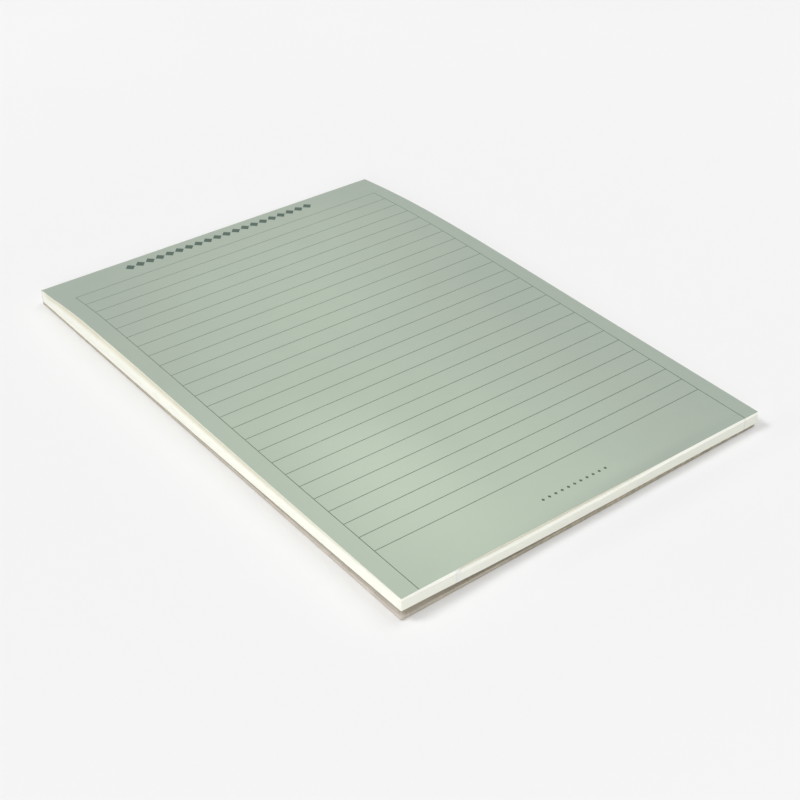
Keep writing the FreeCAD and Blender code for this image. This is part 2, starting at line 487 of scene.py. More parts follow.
marks, given, result = new_group("foot_mark", {"From middle": 0.0, "Width mm": 0.5}, ["Mark"])
parts = add_node(marks, "ShaderNodeSeparateXYZ", {"Vector": own_place(marks)}).outputs
off = calculate(marks, "ABSOLUTE", calculate(marks, "SUBTRACT", parts["X"], given["From middle"]))
half_width = calculate(marks, "MULTIPLY", given["Width mm"], 0.5 * MM)
line = spread(marks, off, half_width, 0.0)
foot_only = spread(marks, parts["Y"], FOOT + 1.0 * MM, FOOT + 0.9 * MM)
fill(marks, result["Mark"], calculate(marks, "MULTIPLY", line, foot_only))
print("foot_mark:", len(marks.nodes), "nodes")

# %% White paper
white_paper, tree, shader = new_material("white_paper")
loose_shade = add_node(tree, "ShaderNodeAttribute", attribute_name="loose_shade").outputs["Fac"]
tone = add_node(tree, "ShaderNodeAttribute", attribute_name="cut_tone_and_painted_light").outputs["Fac"]
grain = place_group(tree, fibres, {"Size mm": 0.35, "Stretch": 1.5})
stain = place_mottle(tree, 14.0, 0.03)
painted_corner_light = place_pool(tree, 0.0, 0.0, 260.0, squeeze=0.6)
rule_end = place_group(tree, marks, {"From middle": LEFT + RULES_FROM_LEFT[1], "Width mm": 0.9})
nick_line = place_group(tree, marks, {"From middle": LEFT + NICK_FROM_LEFT, "Width mm": 0.6})
beside_nick = {"From middle": LEFT + NICK_FROM_LEFT + 1.0 * MM, "Width mm": 2.4}
nick_band = place_group(tree, marks, beside_nick)
# painted light: the paper is painted paler towards the front left corner
paper = fade(tree, painted_corner_light, colour(235, 235, 227), colour(249, 249, 239))
# painted shade on the upright foot face, and a painted highlight on its lean where the number is below
# zero
paper = fade(tree, tone, paper, colour(228, 230, 219))
lean_highlight = calculate(tree, "MULTIPLY", tone, -1.0, clamp=True)
paper = fade(tree, lean_highlight, paper, colour(253, 253, 245))
# painted shade, warmer and dimmer, where the sheets lie loose
paper = fade(tree, loose_shade, paper, colour(216, 212, 193))
paper = fade(tree, spread(tree, stain, 0.0, 0.02), paper, colour(238, 238, 226))
paper = tinge(tree, grain["Flecks"], 0.25, paper, colour(222, 220, 207))
paper = tinge(tree, rule_end["Mark"], 0.40, paper, colour(196, 204, 204))
paper = tinge(tree, nick_band["Mark"], 0.40, paper, colour(231, 235, 238))
paper = tinge(tree, nick_line["Mark"], 0.30, paper, colour(200, 204, 204))
finish_material(white_paper, shader, paper, grain["Fibres"], rough=(0.78, 0.92), shine=0.25,
                strength=0.25, depth=0.03 * MM)

# %% [markdown]
# ## Finish: printed page
#
# The same paper under a flat tint of sage green. Offset ink sits in the fibres rather than on
# them, so the page stays matt, but calendered paper still has a soft sheen at a low angle. The
# tint is never quite even: a broad mottle and flecks where a fibre took less ink. Slow pools of
# painted light lie over it as well. The largest is by the front left corner, with a small lighter
# painted glow in it, and a weaker one lies over the upper middle. Along the brink of the foot the
# tint is darker, which is painted shade.

# %% Printed page
printed_page, tree, shader = new_material("printed_page")
grain = place_group(tree, fibres, {"Size mm": 0.30, "Stretch": 1.6})
patch = place_mottle(tree, 26.0, 0.30)
cloud = place_mottle(tree, 7.0, 0.16)
cloud = calculate(tree, "ADD", patch, cloud)
# painted light: the front pool and the glow in it brighten the tint by the front left corner, the upper
# pool over the upper middle; the brink pool is painted shade along the foot
front = place_pool(tree, 35.0, 20.0, 187.0, squeeze=1.5)
glow = place_pool(tree, 31.0, 42.0, 60.0, squeeze=2.0)
upper = place_pool(tree, 82.0, 165.0, 88.0)
brink = place_pool(tree, 95.0, 0.0, 7.0, squeeze=0.085)
drift = calculate(tree, "MULTIPLY_ADD", upper, 0.48, front)
drift = calculate(tree, "MULTIPLY_ADD", brink, -0.4, drift)
drift = calculate(tree, "MULTIPLY_ADD", cloud, 0.8, drift, clamp=True)
# the print's sage, spread by the painted light and shade of those pools and by the mottle
sage = fade(tree, drift, colour(160, 171, 159), colour(180, 193, 175))
sage = fade(tree, glow, sage, colour(186, 199, 181))
sage = tinge(tree, grain["Flecks"], 0.20, sage, colour(190, 200, 186))
sage = fade(tree, spread(tree, grain["Fibres"], 0.35, 0.25, 0.0, 0.10), sage, colour(150, 162, 149))
finish_material(printed_page, shader, sage, grain["Fibres"], rough=(0.52, 0.66), shine=0.35,
                strength=0.18, depth=0.02 * MM)

# %% [markdown]
# ## Finish: the two inks
#
# The rules are a hair line of a darker green, fuller at the foot than at the head. Such a fine
# line breaks up a little where the paper is rough, so its tone follows the fibres. The ornament is
# printed in a deep green, solid enough to hide the tint under it. One function makes both.

# %% Inks
def make_ink(name, full, light, thin, breakup):
    """A printed ink: full at the foot, lighter at the head, and thin where the fibres are proud."""
    material, tree, shader = new_material(name)
    grain = place_group(tree, fibres, {"Size mm": 0.30, "Stretch": 1.6})
    tone = fade(tree, place_pool(tree, 90.0, -20.0, 260.0), light, full)
    starved = spread(tree, grain["Fibres"], 0.45, 0.65, 0.0, breakup)
    tone = fade(tree, starved, tone, thin)
    finish_material(material, shader, tone, grain["Fibres"], rough=(0.48, 0.60), shine=0.3,
                    strength=0.15, depth=0.02 * MM)
    return material


green, pale_green, deep_green = colour(76, 92, 79), colour(107, 122, 108), colour(70, 90, 79)
rule_ink = make_ink("rule_ink", green, pale_green, colour(124, 138, 124), 0.4)
ornament_ink = make_ink("ornament_ink", deep_green, deep_green, colour(96, 114, 102), 0.5)

# %% [markdown]
# ## Finish: grey chipboard
#
# The back is pressed from waste paper in plies. It is the roughest thing here: long fibres, dark
# and light flecks from old print, and an edge that shows its plies as faint level lines and rubs
# to a paler fuzz. A number from the mesh, "edge", says how dark the card is: 0 on a clean face,
# and up to 1 at the cut foot, which is the greyest, most of it painted shade. It also carries
# painted shade in the gap under the sprung corner.

# %% Chipboard
PLY = 0.27 * MM

chipboard, tree, shader = new_material("chipboard")
edge = add_node(tree, "ShaderNodeAttribute", attribute_name="edge").outputs["Fac"]
coarse = place_group(tree, fibres, {"Size mm": 1.1, "Stretch": 2.2})
fine = place_group(tree, fibres, {"Size mm": 0.45, "Stretch": 1.4})
cloud = place_mottle(tree, 9.0, 1.0)
worn = place_group(tree, scuffs, {"Edge": edge, "Size mm": 1.2, "Wear": 0.22})["Worn"]
height = add_node(tree, "ShaderNodeSeparateXYZ", {"Vector": own_place(tree)}).outputs["Z"]
turns = calculate(tree, "DIVIDE", height, PLY / (2 * math.pi))
turns = calculate(tree, "ADD", turns, calculate(tree, "MULTIPLY", cloud, 6.0))
ripple = calculate(tree, "SINE", turns)
ply_line = calculate(tree, "MULTIPLY", spread(tree, ripple, 0.55, 0.95), edge)
cloudy = spread(tree, cloud, -0.2, 0.2)
face = fade(tree, cloudy, colour(192, 184, 174), colour(208, 200, 190))
side = fade(tree, cloudy, colour(143, 139, 118), colour(155, 150, 128))
# towards the side colour where the edge number is high; at the foot and in the gap under the sprung
# corner this is painted shade
board = fade(tree, edge, face, side)
# painted shade: the darkest grey, at the right end of the foot
board = fade(tree, spread(tree, edge, 0.92, 1.0), board, colour(124, 124, 110))
board = tinge(tree, coarse["Flecks"], 0.45, board, colour(150, 142, 130))
board = tinge(tree, fine["Flecks"], 0.45, board, colour(222, 212, 196))
board = tinge(tree, ply_line, 0.35, board, colour(136, 125, 110))
board = tinge(tree, worn, 0.4, board, colour(208, 194, 176))
felt = calculate(tree, "ADD", coarse["Fibres"], calculate(tree, "MULTIPLY", fine["Fibres"], 0.5))
felt = calculate(tree, "SUBTRACT", felt, calculate(tree, "MULTIPLY", ply_line, 0.4))
finish_material(chipboard, shader, board, coarse["Fibres"], rough=(0.84, 0.96), shine=0.2,
                strength=0.5, depth=0.08 * MM, relief=felt)

# %% [markdown]
# ## Finish: padding glue
#
# The head is brushed with a milky glue that dries to a thin elastic skin. The brush runs along
# the head, so its streaks are noise stretched hard that way. The skin is smoother than paper, and
# the sheets' edges show through it as fine level lines. Its two ends are cut with the pad, and
# painted shade makes them a little grey.

# %% Padding glue
padding_glue, tree, shader = new_material("padding_glue")
place = own_place(tree)
streaks = add_noise(tree, change(tree, "MULTIPLY", place, (60.0, 900.0, 900.0)), 1.0, 3.0)
layers = add_noise(tree, change(tree, "MULTIPLY", place, (15.0, 15.0, 9000.0)), 1.0, 2.0)
pool = place_mottle(tree, 12.0, 1.0)
skin = fade(tree, spread(tree, pool, -0.2, 0.2), colour(236, 238, 234), colour(228, 229, 221))
skin = fade(tree, spread(tree, streaks, 0.55, 0.75, 0.0, 0.5), skin, colour(242, 244, 241))
skin = fade(tree, spread(tree, layers, 0.5, 0.7, 0.0, 0.5), skin, colour(208, 206, 194))
parts = add_node(tree, "ShaderNodeSeparateXYZ", {"Vector": place}).outputs
off = calculate(tree, "ABSOLUTE", calculate(tree, "SUBTRACT", parts["X"], MIDDLE))
# painted shade: the two cut ends are painted grey
painted_end_shade = spread(tree, off, WIDTH / 2 - 0.25 * MM, WIDTH / 2 - 0.05 * MM)
skin = fade(tree, painted_end_shade, skin, colour(184, 186, 180))
ridges = calculate(tree, "ADD", streaks, calculate(tree, "MULTIPLY", layers, 0.5))
finish_material(padding_glue, shader, skin, streaks, rough=(0.34, 0.5), shine=0.45,
                strength=0.5, depth=0.06 * MM, relief=ridges)
glue_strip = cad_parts["glue_strip"]
glue_strip.data.materials.clear()
glue_strip.data.materials.append(padding_glue)
print("the glue is the solid's own:", glue_strip.name)

# %% [markdown]
# ## Piece: the stack of sheets
#
# From a desk's distance the block is white with a soft grain of lines. A texture could draw them,
# but they would stay flat at the corners and where the block swells. Here each sheet has its own
# edge in the mesh: a cut face, then a groove in to the next sheet.
#
# The block is thicker in places than its paper, and the rest is air. Pressed paper lies at the
# bottom and the air gathers near the top, so the height of each sheet is its share of the paper
# plus a share of the air that grows with a power of its place in the stack. The last few sheets
# cling together again, and show as one pale line under the print.
#
# Where the glue lets go, the left edge has a soft crease: the sheets dip there by a fifth of a
# millimetre, and behind it they rise sooner. Both die away across the page.

# %% Sheet heights
SHEETS = 50
PRESSED_SHEET = 0.088 * MM    # a sheet where it lies tight on the next
PAPER = 0.080 * MM            # the paper in it
TOP_SHEET = 0.095 * MM        # the printed sheet, with a little room under it
PRINT_ROOM = 0.036 * MM       # how far the page lies under the solid, for the ink and the fit
CREASE = 0.22 * MM            # how far the sheets dip at the left edge, by the glue
CREASE_SPAN = (1 * MM, 15 * MM)     # from the head
CREST = 0.22 * MM             # and how much higher they lie behind that
CREST_SPAN = (11 * MM, 47 * MM)     # from the head
CREASE_REACH = 90 * MM        # how far into the page both are felt
AIR_POWER = 4.5               # how strongly the air gathers near the top
CLINGING = 0.94               # above this share of the stack the sheets cling together again
COLUMNS, ROWS = 74, 84


def hump(from_head, start, end):
    """A soft hump, 1 halfway between two distances from the head and 0 outside them."""
    return 0.5 - 0.5 * np.cos(2 * np.pi * np.clip((from_head - start) / (end - start), 0, 1))


def page_height(x, y):
    """The top of the printed sheet, with its crease by the glue at the left edge."""
    crest = hump(HEAD - y, *CREST_SPAN) * CREST
    crease = hump(HEAD - y, *CREASE_SPAN) * CREASE
    at_left = np.clip(1 - (x - LEFT) / CREASE_REACH, 0, 1)
    return block_top(x, y) - PRINT_ROOM + (crest - crease) * at_left ** 2


def sheet_bottom(number, x, y):
    """The underside of a sheet, counted from 0 at the bottom of the stack."""
    share = number / (SHEETS - 1)
    low = block_underside(x, y)
    thickness = page_height(x, y) - TOP_SHEET - low
    pressed = (SHEETS - 1) * PRESSED_SHEET
    loose = min(share / CLINGING, 1.0) ** AIR_POWER
    return low + pressed * share + (thickness - pressed) * loose


for station, y in STATIONS.items():
    steps = [sheet_bottom(n + 1, LEFT, y) - sheet_bottom(n, LEFT, y) for n in (0, 24, 48)]
    print(f"{station}: sheets lie {[round(step / MM, 3) for step in steps]} mm apart, low to high")

# %% [markdown]
# The trim of a real pad is never quite square. The upper sheets have slipped back at the foot, so
# the foot face leans back near its top and catches the light there. Between the left corner and the
# middle the sheets just under the first lie loose, a little further in, and show as a dim strip
# above that bright lean. The lowest few have tucked in over the board, which leaves a dark line,
# and the very lowest hang over the board's crushed edge or curl up where the corner has sprung.
#
# All this differs along the foot, so it is written as rows of a small table, one column for each
# place: how far the first sheet lies back, how far the lean goes back and how far down it ends,
# how high the dim strip is and how high the tucked sheets reach, how far the lowest sheets sag,
# which is below zero where they curl up, and how much whiter than the rest the lean is painted, as
# a painted highlight. The other raggedness is a few hundredths of a millimetre, drawn with a fixed
# seed.

# %% Trim of the sheets
FOOT_PLACES = np.array([0, 10, 20, 21, 30, 45, 60, 75, 90, 100, 110, 125, 136, 148]) * MM
TOP_BACK = np.array([15, 36, 50, 55, 76, 78, 82, 74, 62, 56, 52, 42, 32, 5]) * 0.01 * MM
LEAN_BACK = np.array([32, 50, 62, 66, 66, 66, 68, 68, 68, 70, 68, 62, 52, 38]) * 0.01 * MM
LEAN_END = np.array([70, 80, 95, 135, 155, 160, 155, 140, 120, 100, 90, 95, 105, 110]) * 0.01 * MM
STRIP = np.array([0, 0, 0, 75, 90, 98, 82, 73, 54, 30, 8, 0, 0, 0]) * 0.01 * MM
TUCK = np.array([0, 0, 0, 0, 0, 0, 0, 1, 10, 18, 24, 20, 6, 0]) * 0.01 * MM
SAG = np.array([-8, -10, 0, 0, 14, 17, 15, 8, 0, 0, 0, 0, 6, 24]) * 0.01 * MM
# the strength of the painted highlight on the lean
GLEAM = np.array([100, 100, 100, 90, 40, 10, 0, 10, 35, 55, 60, 60, 65, 75]) * 0.01
RECESS = 0.10 * MM        # how far the loose sheets lie behind the first
TUCK_BACK = 0.5 * MM      # how far the lowest sheets have tucked in
TURN = 0.06 * MM          # the height in which one kind of edge gives way to the next
RAGGED = 0.03 * MM        # how unevenly the sheets are trimmed
chance = np.random.default_rng(7)


def along_foot(x, row):
    """A row of the table at any x."""
    return np.interp(x - LEFT, FOOT_PLACES, row)


def slip_back(x, depth, height):
    """How far the foot edge lies back, this far below the page and above the stack's underside."""
    strip, end = along_foot(x, STRIP), along_foot(x, LEAN_END)
    lean = along_foot(x, LEAN_BACK) * np.clip((end - depth) / (end - strip), 0, 1) ** 2
    loose = np.clip((strip - depth) / TURN, 0, 1)
    tucked = TUCK_BACK * np.clip((along_foot(x, TUCK) - height) / TURN, 0, 1)
    return lean + (along_foot(x, TOP_BACK) + RECESS - lean) * loose + tucked


flat_x, flat_y = np.meshgrid(
    np.linspace(LEFT, RIGHT, COLUMNS + 1), np.linspace(FOOT, HEAD, ROWS + 1))
rim_x, rim_y = rim(flat_x), rim(flat_y)
inward_x, inward_y = inward(rim_x, LEFT, RIGHT), inward(rim_y, FOOT, HEAD)
at_foot = rim_y <= FOOT
at_side = (rim_y > FOOT) & (rim_y < HEAD)
print("rim:", len(rim_x), "points,", at_foot.sum(), "of them at the foot")

# %% [markdown]
# Every loop round the stack gives its points two numbers, for its painted shade and for its tone,
# which carries painted light on the foot as well. The painted shade darkens the loose sheets and
# the dim strip at the foot. The loose sheets lie within about three millimetres of the page along
# both sides, and there are fewer of them towards the foot, where the sheets press together again.

# %% Light and tone of the cut edges
# how much painted shade the loose sheets get along the sides, by distance from the head, how far down
# it reaches, and how strong it starts right under the page
LOOSE_PLACES = np.array([0, 5, 15, 30, 90, 130, 150, 170, 185, 200, 210]) * MM    # from the head
LOOSENESS = np.array([0.4, 0.9, 1.0, 1.0, 1.0, 1.0, 0.9, 0.8, 0.65, 0.55, 0.6])
LOOSE_REACH = np.array([2.4, 2.6, 2.7, 3.2, 2.9, 2.6, 2.2, 1.9, 1.3, 0.8, 0.7]) * MM
LOOSE_START = np.array([0.8, 0.9, 0.7, 0.3, 0.4, 0.5, 0.5, 0.6, 0.8, 1.0, 1.0])
LOOSE_FADE = 0.65           # the share of their reach in which they tighten
START_DEPTH = 0.8 * MM      # right under the page they start with LOOSE_START of it
STRIP_SHADE = 0.82            # how much painted shade the dim strip at the foot gets
STRIP_TURN = 0.08 * MM      # the height in which it ends
FOOT_FACE_SHADE = 0.30            # how much painted shade darkens the foot face at its left end
MORE_SHADE_RIGHT = 0.38               # how much more painted shade it has at its right end
DARKEST_FROM = 110 * MM
GLEAM_SHARES = (0.35, 0.75) # of the dim strip and of the lean, where the gleam starts to end
GLEAM_TURN = 0.3 * MM       # the height in which it gives way to the painted shade of the foot
FOOT_DIFFERS, SIDE_DIFFERS = 0.10, 0.2    # how much one sheet differs from another


def dim_light(z):
    """The "loose_shade" number of a loop at heights z, painted shade: 1 where the sheets lie loosest.
    """
    depth = page_height(rim_x, rim_y) - z
    rows = (LOOSENESS, LOOSE_REACH, LOOSE_START)
    looseness, reach, start = [np.interp(HEAD - rim_y, LOOSE_PLACES, row) for row in rows]
    side = looseness * np.clip((reach - depth) / (LOOSE_FADE * reach), 0, 1) * at_side
    side *= np.clip(start + (1 - start) * depth / START_DEPTH, 0, 1)
    strip = STRIP_SHADE * np.clip((along_foot(rim_x, STRIP) - depth) / STRIP_TURN, 0, 1) * at_foot
    return np.maximum(side, strip)


def tone_shade_and_highlight(z, sheet_share):
    """The "cut_tone_and_painted_light" number of a loop at heights z, for a sheet with its own random
    share: painted shade on the foot face and a painted highlight on its lean.
    """
    depth = page_height(rim_x, rim_y) - z
    foot = FOOT_FACE_SHADE + MORE_SHADE_RIGHT * np.clip((rim_x - LEFT) / DARKEST_FROM, 0, 1)
    foot = foot + FOOT_DIFFERS * sheet_share
    strip, lean = along_foot(rim_x, STRIP), along_foot(rim_x, LEAN_END)
    bright = GLEAM_SHARES[0] * strip + GLEAM_SHARES[1] * lean
    straight = np.clip((depth - bright) / GLEAM_TURN, 0, 1)
    gleam = along_foot(rim_x, GLEAM) * (1 - straight)
    return np.where(at_foot, foot * straight - gleam, SIDE_DIFFERS * sheet_share)


print("loose sheets reach down, mm:", (LOOSE_REACH / MM).round(1))

# %% [markdown]
# Each sheet gives three loops: its lower edge, its upper edge and the groove above it. The groove
# is deeper where there is more air, as a real gap is.

# %% Build the stack
SAG_HEIGHT = 0.5 * MM         # how high up the sheets still sag
LEAST_GAP = 0.004 * MM        # so that no sheet closes on the next
GROOVE_SHARE = 0.9            # the depth of a groove, as a share of its gap
DEEPEST_GROOVE = 0.3 * MM


def edge_loop(z, inset, side_trim, foot_trim):
    """A loop round the block at heights z, set in by inset and by this sheet's own trim."""
    depth = page_height(rim_x, rim_y) - z
    height = z - block_underside(rim_x, rim_y)
    back = slip_back(rim_x, depth, height) * at_foot
    sag = along_foot(rim_x, SAG) * np.clip(1 - height / SAG_HEIGHT, 0, 1) * at_foot
    x = rim_x + inward_x * (inset + side_trim)
    y = rim_y + inward_y * (inset + foot_trim) + back
    return stack_points(x, y, z - sag)


loops, loose_shades, tones = [], [], []
for number in range(SHEETS - 1):
    low = sheet_bottom(number, rim_x, rim_y)
    pitch = sheet_bottom(number + 1, rim_x, rim_y) - low
    gap = np.maximum(pitch - PAPER, LEAST_GAP)
    trims = chance.uniform(0, RAGGED, 2)
    loose_shade = dim_light(low + pitch / 2)
    tone = tone_shade_and_highlight(low + pitch / 2, chance.uniform(0, 1))
    groove = np.clip(GROOVE_SHARE * gap, LEAST_GAP, DEEPEST_GROOVE)
    edges = [(low, 0.0), (low + pitch - gap, 0.0), (low + pitch - gap / 2, groove)]
    for z, inset in edges[:2] if number == SHEETS - 2 else edges:
        loops.append(edge_loop(z, inset, *trims))
        loose_shades.append(loose_shade)
        tones.append(tone)
print("loops round the stack:", len(loops))

# %% Sheet stack
UNDER_PAGE = 0.008 * MM       # between the top of the stack and the printed sheet


def lay_grid(loop, height):
    """A grid over the sheet, at the heights that a function gives, with a loop as its rim."""
    return set_rim(stack_points(flat_x, flat_y, height(flat_x, flat_y)), loop)


underside = lay_grid(loops[0], lambda x, y: sheet_bottom(0, x, y))
top = lay_grid(loops[-1], lambda x, y: sheet_bottom(SHEETS - 1, x, y) - UNDER_PAGE)
slab = make_slab(underside, top, loops[1:-1])
sheet_stack = make_piece("sheet_stack", [slab], white_paper)
blank = np.zeros(flat_x.size)
for mask, rows in (("loose_shade", loose_shades), ("cut_tone_and_painted_light", tones)):
    add_mask(sheet_stack, mask, np.concatenate([blank, *rows[1:-1], blank]))
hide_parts("paper_block")

# %% [markdown]
# ## Piece: the printed sheet
#
# The first sheet is a slab of its own, so that the print can be its own material, and so that the
# white of the paper shows as a hair line at its cut edge. Its rows are as close as the stack's.

# %% Printed sheet
TOP_EDGE = 0.006 * MM     # the tiny round of the cut, just under the print
ROOM_BELOW = 0.012 * MM   # the part of TOP_SHEET that is left free under it

page_loops = []
for drop, inset in ((TOP_SHEET - ROOM_BELOW, 0.0), (TOP_EDGE, 0.0), (0.0, TOP_EDGE)):
    z = page_height(rim_x, rim_y) - drop
    x = rim_x + inward_x * inset
    y = rim_y + inward_y * inset + along_foot(rim_x, TOP_BACK) * at_foot
    page_loops.append(stack_points(x, y, z))
underside = lay_grid(page_loops[0], lambda x, y: page_height(x, y) - TOP_SHEET + ROOM_BELOW)
top = lay_grid(page_loops[2], page_height)
slab = make_slab(underside, top, page_loops[1:2])
printed_sheet = make_piece("printed_sheet", [slab], white_paper, printed_page)
for mask in ("loose_shade", "cut_tone_and_painted_light"):
    add_mask(printed_sheet, mask, np.zeros(len(slab[0])))
printed_sheet.data.shade_smooth()
printed_sheet.data.set_sharp_from_angle(angle=math.radians(30))

# %% [markdown]
# ## Piece: the ruling
#
# A line a quarter of a millimetre wide would blur in a texture, so the rules are thin strips of
# ink that follow the page. Twenty-five run across, and two upright ones join their ends and run
# on, off the foot of the sheet.

# %% Ruling
RULE_WIDTH = 0.25 * MM
RULE_COUNT = 25
RULE_PITCH = 7.31 * MM
FIRST_RULE = 14.18 * MM     # from the head
INK = 0.010 * MM            # how far the ink stands over the page
SINK = 0.006 * MM           # and how far it goes in
BEFORE_EDGE = 0.02 * MM     # where the upright rules end at the foot
STEPS_ACROSS, STEPS_ALONG = 56, 80


def printed_patch(x, y):
    """A slab of ink over a grid of x and y on the page."""
    page = page_height(x, y)
    return make_slab(stack_points(x, y, page - SINK), stack_points(x, y, page + INK))


def rule_across(y):
    """A rule across the page at this y."""
    x = np.linspace(LEFT + RULES_FROM_LEFT[0], LEFT + RULES_FROM_LEFT[1], STEPS_ACROSS)
    return printed_patch(*np.meshgrid(x, [y - RULE_WIDTH / 2, y + RULE_WIDTH / 2]))


def rule_along(from_left):
    """An upright rule, from the first rule across to the foot."""
    x = LEFT + from_left
    print_end = FOOT + along_foot(x, TOP_BACK) + BEFORE_EDGE
    y = np.linspace(print_end, HEAD - FIRST_RULE + RULE_WIDTH / 2, STEPS_ALONG)
    return printed_patch(*np.meshgrid([x - RULE_WIDTH / 2, x + RULE_WIDTH / 2], y))


rules = [rule_across(HEAD - FIRST_RULE - RULE_PITCH * n) for n in range(RULE_COUNT)]
rules += [rule_along(from_left) for from_left in RULES_FROM_LEFT]
ruling = make_piece("ruling", rules, rule_ink)

# %% [markdown]
# ## Piece: the ornament
#
# The margins at the head and the foot are the usual places for a printed line. Here they hold a
# plain row of lozenges, bold at the head and small at the foot, in the same deep green. A lozenge
# is a square grid turned by 45 degrees and stretched.

# %% Ornament
def lozenge(x, y, width, height):
    """A lozenge of ink with its middle at x and y."""
    side = np.linspace(-1, 1, 4)
    across, along = np.meshgrid(side, side)
    return printed_patch(x + (across - along) * width / 4, y + (across + along) * height / 4)


def lozenge_row(count, pitch, width, height, y):
    """A row of lozenges across the middle of the page."""
    places = MIDDLE + (np.arange(count) - (count - 1) / 2) * pitch
    return [lozenge(x, y, width, height) for x in places]


head_row = lozenge_row(20, pitch=4.25 * MM, width=3.9 * MM, height=4.5 * MM, y=HEAD - 5.7 * MM)
foot_row = lozenge_row(11, pitch=2.6 * MM, width=1.15 * MM, height=1.3 * MM, y=HEAD - 201 * MM)
ornament = make_piece("ornament", head_row + foot_row, ornament_ink)

# %% [markdown]
# ## Piece: the card back
#
# A die-cut card has edges that are crushed, not sharp, and foot corners rounded a touch by
# handling. A few loops give the crushed section, and a ragged wobble of a few hundredths of a
# millimetre breaks its outline. The corners come from sliding points of a square into a circle,
# and the foot is cut a hair short on the right.

# %% Card outline
CORNER = 0.7 * MM
FOOT_SKEW = 0.18 * MM      # how far short the foot is cut on the right
SKEW_PLACES = (85 * MM, 105 * MM)      # and where that sets in, from the left


def closer_at_ends(low, high, count):
    """Even places, with more of them near both ends for the rounded corners."""
    near = np.array([0.15, 0.3, 0.5, 0.7, 1.2]) * MM
    return np.unique(np.concatenate([np.linspace(low, high, count + 1), low + near, high - near]))


def soften_foot(x, y, inset):
    """Set the points in, and round the two foot corners."""
    middle = (board_low.x + board_high.x) / 2
    half = (board_high.x - board_low.x) / 2
    x = middle + (x - middle) * (half - inset) / half
    foot = board_low.y + inset + np.interp(x - board_low.x, SKEW_PLACES, (0, FOOT_SKEW))
    y = np.clip(y, foot, board_high.y - inset)
    out_x = np.abs(x - middle) - (half - inset - CORNER)
    out_y = (foot + CORNER) - y
    in_corner = (out_x > 0) & (out_y > 0)
    slide = np.where(in_corner, 1 - np.maximum(out_x, out_y) / np.hypot(out_x, out_y), 0.0)
    return x - np.sign(x - middle) * out_x * slide, y + out_y * slide


card_x, card_y = np.meshgrid(closer_at_ends(board_low.x, board_high.x, COLUMNS),
                             closer_at_ends(board_low.y, board_high.y, ROWS))
card_rim_x, card_rim_y = rim(card_x), rim(card_y)
print("card outline:", len(card_rim_x), "points")

# %% Card back
CARD_TOP = board_high.z / MM
# each pair is a height and how far in the edge lies there, in millimetres
EDGE_SECTION = ((0.0, 0.26), (0.12, 0.09), (0.32, 0.02), (0.62, 0.015), (0.95, 0.0),
                (1.22, 0.05), (CARD_TOP, 0.17))
WOBBLE = 0.035 * MM

card_in_x = inward(card_rim_x, board_low.x, board_high.x)
card_in_y = inward(card_rim_y, board_low.y, board_high.y)
card_loops = []
for height, inset in EDGE_SECTION:
    fuzz = chance.uniform(0, WOBBLE, len(card_rim_x)) if 0 < height < CARD_TOP else 0.0
    x, y = soften_foot(card_rim_x, card_rim_y, inset * MM)
    card_loops.append(stack_points(x + card_in_x * fuzz, y + card_in_y * fuzz, height * MM))


def lay_card(number, height):
    """The flat grid of the card at one height, with a loop of the edge as its rim."""
    inset = EDGE_SECTION[number][1] * MM
    return set_rim(stack_points(*soften_foot(card_x, card_y, inset), height), card_loops[number])


slab = make_slab(lay_card(0, 0.0), lay_card(-1, board_high.z), card_loops[1:-1])
card_back = make_piece("card_back", [slab], chipboard)
card_back.data.shade_smooth()
card_back.data.set_sharp_from_angle(angle=math.radians(50))
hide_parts("backing_board")

# %% [markdown]
# The cut edge is darker along the sides towards the head, and darker still at the foot, which is
# painted shade. Under the sprung corner the card's upper face is open, and painted shade darkens
# it there, most deep in the gap. The number "edge" holds both.

# %% Soil and dust on the card
SIDE_PLACES = np.array([0, 30, 50, 90, 130, 170, 195]) * MM    # from the head
SIDE_DARKNESS = [0.50, 0.52, 0.58, 0.46, 0.22, 0.15, 0.0]
CARD_FOOT_PLACES = np.array([0, 10, 30, 45, 60, 90, 120, 148]) * MM    # along the foot
CARD_FOOT_SHADE = [0.16, 0.46, 0.42, 0.70, 0.86, 0.92, 0.92, 0.98]
GAP_PLACES = np.array([0, 10, 25, 40, 60, 80]) * MM    # from the foot
GAP_HEIGHTS = np.array([2.1, 1.9, 1.4, 0.95, 0.5, 0.4]) * MM
IN_PLACES = [0.3, 0.8, 2, 3, 10]    # in from the left, as so many times the gap's height
IN_GAP_SHADE = [0.0, 0.6, 0.4, 0.3, 1.0]
GAP_SHADE_PLACES = np.array([0, 0.4, 2, 90, 100]) * MM    # from the foot
FOOT_GAP_SHADE = [0.5, 0.6, 0.68, 0.8, 0]

# the cut edge's darkness: along the sides by distance from the head, and along the foot as painted
# shade, darkest at the right end
edge_darkness = np.interp(board_high.y - card_rim_y, SIDE_PLACES, SIDE_DARKNESS)
on_foot = card_rim_y <= board_low.y
edge_darkness[on_foot] = np.interp(card_rim_x[on_foot] - board_low.x, CARD_FOOT_PLACES, CARD_FOOT_SHADE)
lower_face = set_rim(np.zeros(card_x.shape), edge_darkness)
lower_face[0, 0] = lower_face[0, -1]     # both foot corners are handled alike
from_foot = card_y - board_low.y
